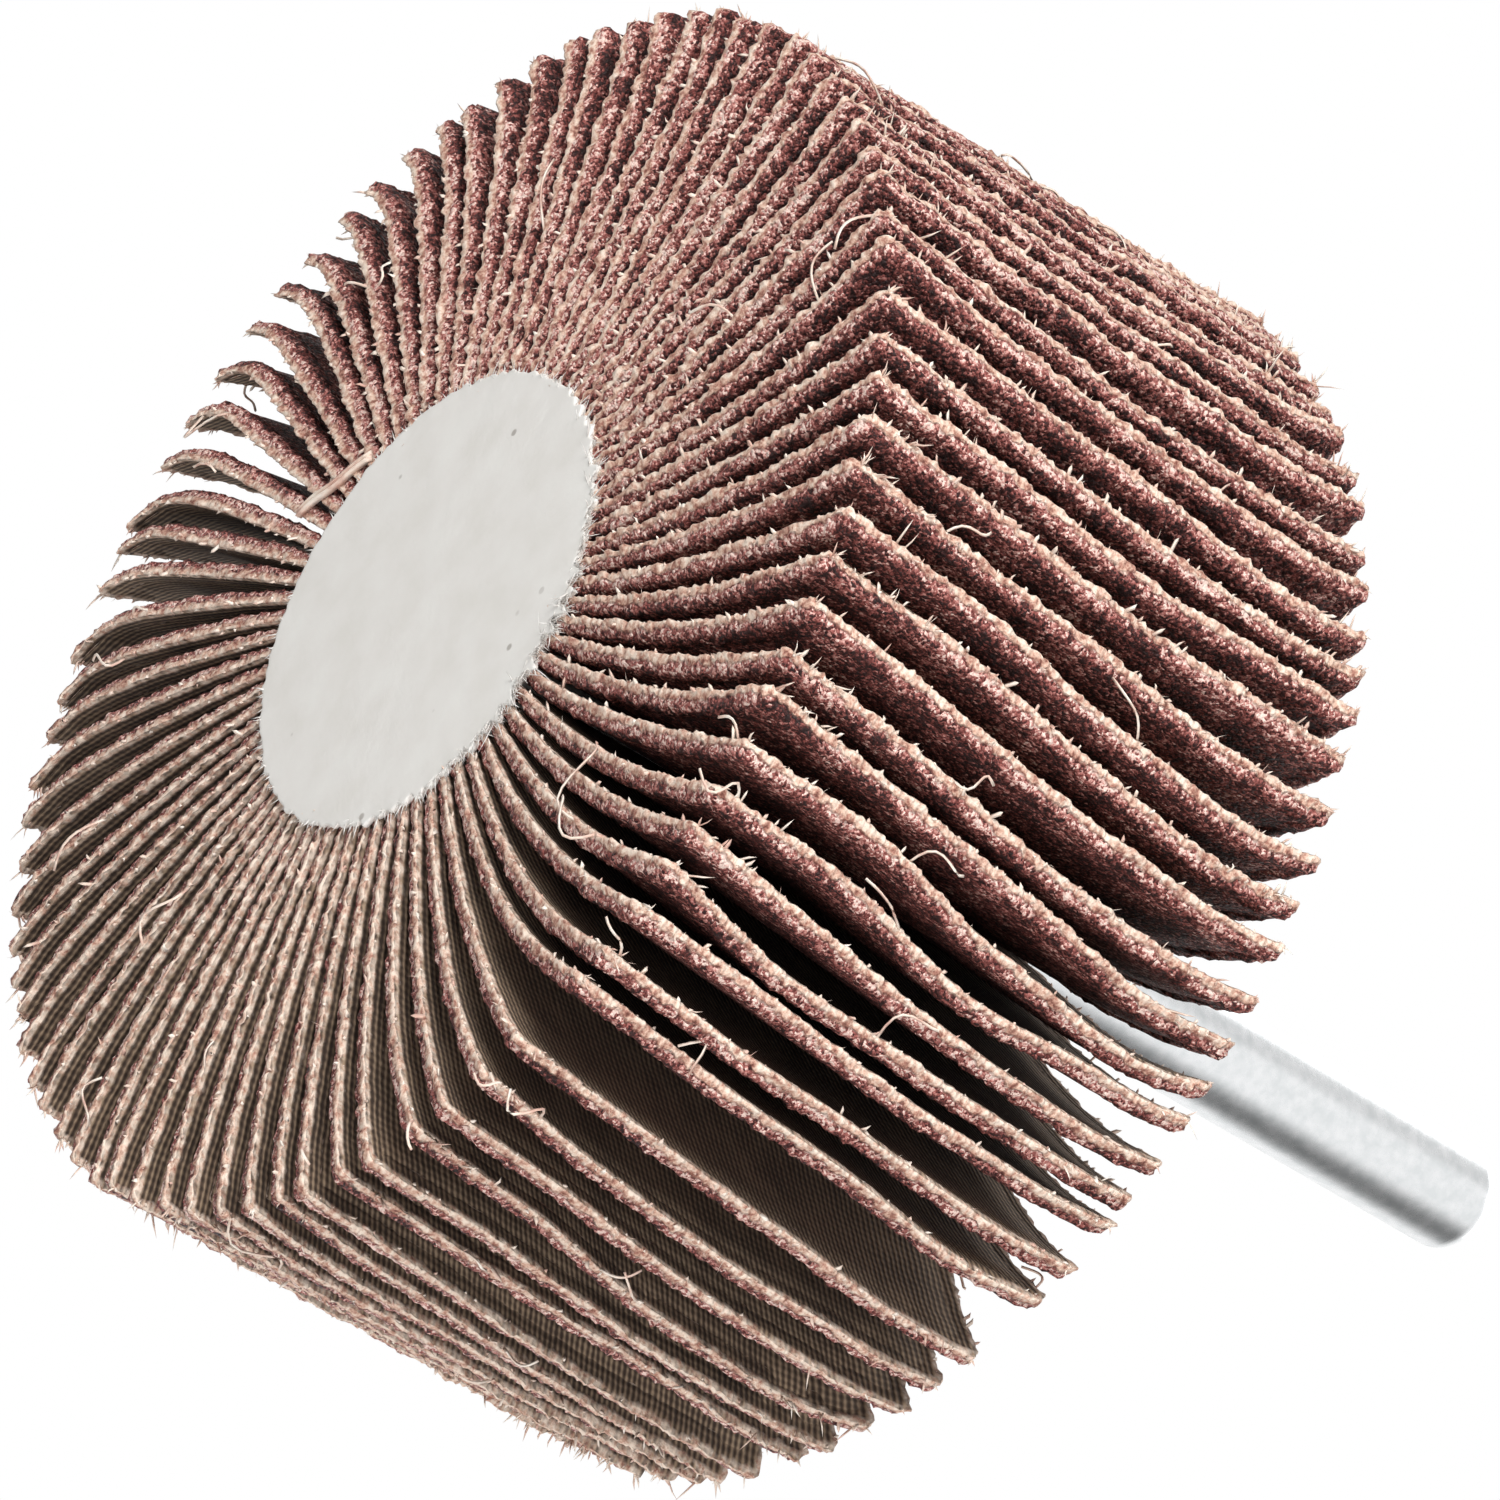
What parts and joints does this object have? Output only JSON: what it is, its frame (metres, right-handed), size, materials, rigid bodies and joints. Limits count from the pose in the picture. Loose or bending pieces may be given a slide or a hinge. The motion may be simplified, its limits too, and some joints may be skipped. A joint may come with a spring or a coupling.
{
  "type": "flap wheel",
  "caption": "Shank-mounted flap wheel: curved abrasive cloth flaps fanned round a cast resin core on a plain round steel spindle.",
  "frame": {"origin": "centre of the front disc's face on the spindle axis, where the wheel stands", "axes": "+Z along the spindle towards the free end of the shank; the wide gap between two flaps points about 60 degrees from +X towards -Y"},
  "size_m": [0.067, 0.067, 0.0742],
  "materials": {
    "shank_steel": "satin plated, with fine turning marks",
    "resin": "matte cast resin",
    "abrasive_cloth": "red-brown grit on ribbed olive-brown cloth"
  },
  "bodies": {
    "root": {"spindle": "shank_steel", "core": "resin", "flap_pair_01": "abrasive_cloth", "flap_pair_02": "abrasive_cloth", "flap_pair_03": "abrasive_cloth", "flap_pair_04": "abrasive_cloth", "flap_pair_05": "abrasive_cloth", "flap_pair_06": "abrasive_cloth", "flap_pair_07": "abrasive_cloth", "flap_pair_08": "abrasive_cloth", "flap_pair_09": "abrasive_cloth", "flap_pair_10": "abrasive_cloth", "flap_pair_11": "abrasive_cloth", "flap_pair_12": "abrasive_cloth", "flap_pair_13": "abrasive_cloth", "flap_pair_14": "abrasive_cloth", "flap_pair_15": "abrasive_cloth", "flap_pair_16": "abrasive_cloth", "flap_pair_17": "abrasive_cloth", "flap_pair_18": "abrasive_cloth", "flap_pair_19": "abrasive_cloth", "flap_pair_20": "abrasive_cloth", "flap_pair_21": "abrasive_cloth", "flap_pair_22": "abrasive_cloth", "flap_pair_23": "abrasive_cloth", "flap_pair_24": "abrasive_cloth", "flap_pair_25": "abrasive_cloth", "flap_pair_26": "abrasive_cloth", "flap_pair_27": "abrasive_cloth", "flap_pair_28": "abrasive_cloth", "flap_pair_29": "abrasive_cloth", "flap_pair_30": "abrasive_cloth", "flap_pair_31": "abrasive_cloth", "flap_pair_32": "abrasive_cloth", "flap_pair_33": "abrasive_cloth", "flap_pair_34": "abrasive_cloth", "flap_pair_35": "abrasive_cloth", "flap_pair_36": "abrasive_cloth", "flap_pair_37": "abrasive_cloth", "flap_pair_38": "abrasive_cloth", "flap_pair_39": "abrasive_cloth", "flap_pair_40": "abrasive_cloth"}
  },
  "joints": []
}
